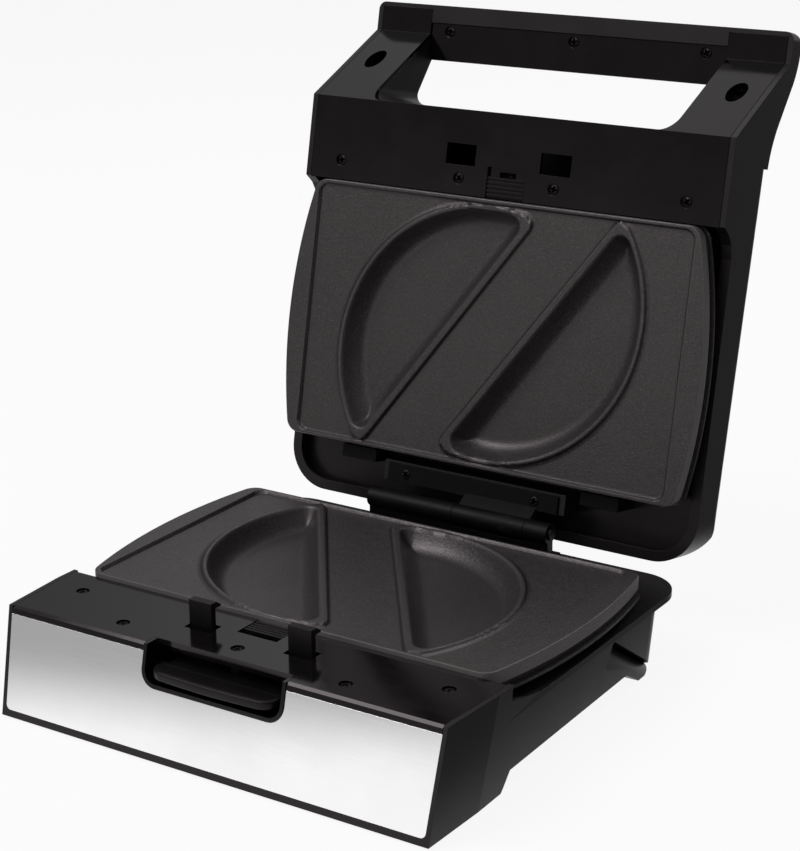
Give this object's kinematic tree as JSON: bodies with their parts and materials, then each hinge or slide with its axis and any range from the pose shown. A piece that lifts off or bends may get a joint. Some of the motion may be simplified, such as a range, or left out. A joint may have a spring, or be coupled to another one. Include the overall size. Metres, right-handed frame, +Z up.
{
  "type": "empanada maker",
  "caption": "Countertop empanada maker: a hinged lid and a base with removable cast half-moon plates, a hooked latch lever and an open carrying handle.",
  "frame": {"origin": "on the floor under the middle of the whole object as it stands open", "axes": "+X to the object's right seen from its front, +Y from the front to the hinge, +Z up"},
  "size_m": [0.276, 0.3872, 0.3308],
  "materials": {
    "housing_plastic": "satin dark grey",
    "gloss_black": "glossy black",
    "dark_plastic": "satin black",
    "mirror_steel": "bright polished",
    "cast_plate": "non-stick coated",
    "bright_sheet": "bright",
    "heater_sheath": "dull",
    "dark_bracket": "dark coated",
    "screw_steel": "zinc",
    "spring_steel": "bright",
    "foot_rubber": "matt",
    "red_lens": "translucent",
    "green_lens": "translucent",
    "control_metal": "dull"
  },
  "bodies": {
    "base": {"base_housing": "housing_plastic", "steel_front_panel": "mirror_steel", "front_deck": "gloss_black", "deck_screws": "screw_steel", "latch_pocket": "gloss_black", "latch_shaft": "screw_steel", "latch_spring": "spring_steel", "lower_slider_spring": "spring_steel", "lower_plate_clips": "dark_bracket", "lower_reflector_tray": "bright_sheet", "lower_heating_element": "heater_sheath", "thermal_fuse": "control_metal", "terminal_block": "dark_plastic", "cord_gland": "dark_plastic", "bottom_cover": "housing_plastic", "bottom_cover_screws": "screw_steel", "foot_pads": "foot_rubber", "hinge_lower_bracket": "dark_bracket", "hinge_pin": "screw_steel", "hinge_lower_screws": "screw_steel"},
    "latch": {"latch_lever": "dark_plastic"},
    "lower_slider": {"lower_release_slider": "dark_plastic"},
    "lower_cooking_plate": {"lower_plate": "cast_plate"},
    "lid": {"lid_housing": "housing_plastic", "lid_frame": "gloss_black", "lid_frame_screws": "screw_steel", "handle_strip": "gloss_black", "handle_strip_screws": "screw_steel", "arm_screws": "screw_steel", "lid_inlay": "mirror_steel", "power_lens": "red_lens", "ready_lens": "green_lens", "upper_slider_spring": "spring_steel", "upper_plate_clips": "dark_bracket", "upper_reflector_tray": "bright_sheet", "upper_heating_element": "heater_sheath", "thermostat": "control_metal", "hinge_upper_bracket": "dark_bracket", "hinge_upper_screws": "screw_steel"},
    "upper_slider": {"upper_release_slider": "dark_plastic"},
    "upper_cooking_plate": {"upper_plate": "cast_plate"}
  },
  "joints": [
    {"name": "lid_hinge", "type": "hinge", "parent": "base", "child": "lid", "pos_m": [0, 0.05564, 0.0589], "axis": [-1, 0, 0], "range_deg": [-101.7, 0]},
    {"name": "latch_press", "type": "hinge", "parent": "base", "child": "latch", "pos_m": [0, -0.15336, 0.045], "axis": [1, 0, 0], "range_deg": [0, 5.5], "stiffness_Nm_per_rad": 0.15, "springref_deg": -20.05},
    {"name": "lower_release", "type": "slide", "parent": "base", "child": "lower_slider", "axis": [0, -1, 0], "range_m": [0, 0.005], "stiffness_N_per_m": 150, "springref_m": -0.004, "deforming": ["lower_slider_spring"]},
    {"name": "upper_release", "type": "slide", "parent": "lid", "child": "upper_slider", "axis": [0, 0.2028, 0.9792], "range_m": [0, 0.005], "stiffness_N_per_m": 150, "springref_m": -0.004, "deforming": ["upper_slider_spring"]},
    {"name": "lower_plate_tilt", "type": "hinge", "parent": "base", "child": "lower_cooking_plate", "pos_m": [0, 0.03334, 0.04805], "axis": [-1, 0, 0], "range_deg": [0, 20]},
    {"name": "upper_plate_tilt", "type": "hinge", "parent": "lid", "child": "upper_cooking_plate", "pos_m": [0, 0.07471, 0.07773], "axis": [1, 0, 0], "range_deg": [0, 20]}
  ]
}
